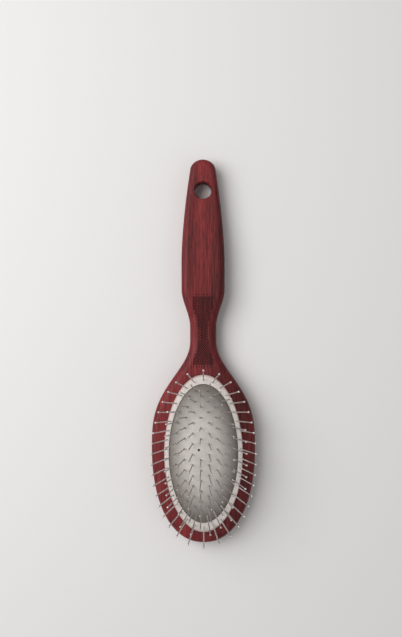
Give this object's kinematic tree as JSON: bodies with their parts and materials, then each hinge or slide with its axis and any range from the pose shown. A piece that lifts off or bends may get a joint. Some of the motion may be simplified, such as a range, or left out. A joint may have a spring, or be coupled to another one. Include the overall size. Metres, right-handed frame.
{
  "type": "pin brush",
  "caption": "Oval pin brush for pets: red-brown wooden handle and head, pale air cushion with a white rim ring, and rows of steel pins that splay outwards.",
  "frame": {"origin": "under the middle of the brush, on the plane that its back rests on", "axes": "+X to the right across the head, +Y along the brush towards the end of the handle, +Z the way the pins point"},
  "size_m": [0.0614, 0.2276, 0.0435],
  "materials": {
    "lacquered_wood": "red-stained hardwood with straight grain under clear lacquer",
    "cushion_rubber": "smooth pale grey moulded rubber",
    "rim_felt": "short-fibred off-white felt",
    "pin_steel": "polished steel wire"
  },
  "bodies": {
    "root": {"body": "lacquered_wood", "cushion": "cushion_rubber", "rim_ring": "rim_felt", "rim_pins": "pin_steel", "pin_column_1": "pin_steel", "pin_column_2": "pin_steel", "pin_column_3": "pin_steel", "pin_column_4": "pin_steel", "pin_column_5": "pin_steel", "pin_column_6": "pin_steel", "pin_column_7": "pin_steel", "pin_column_8": "pin_steel"}
  },
  "joints": []
}
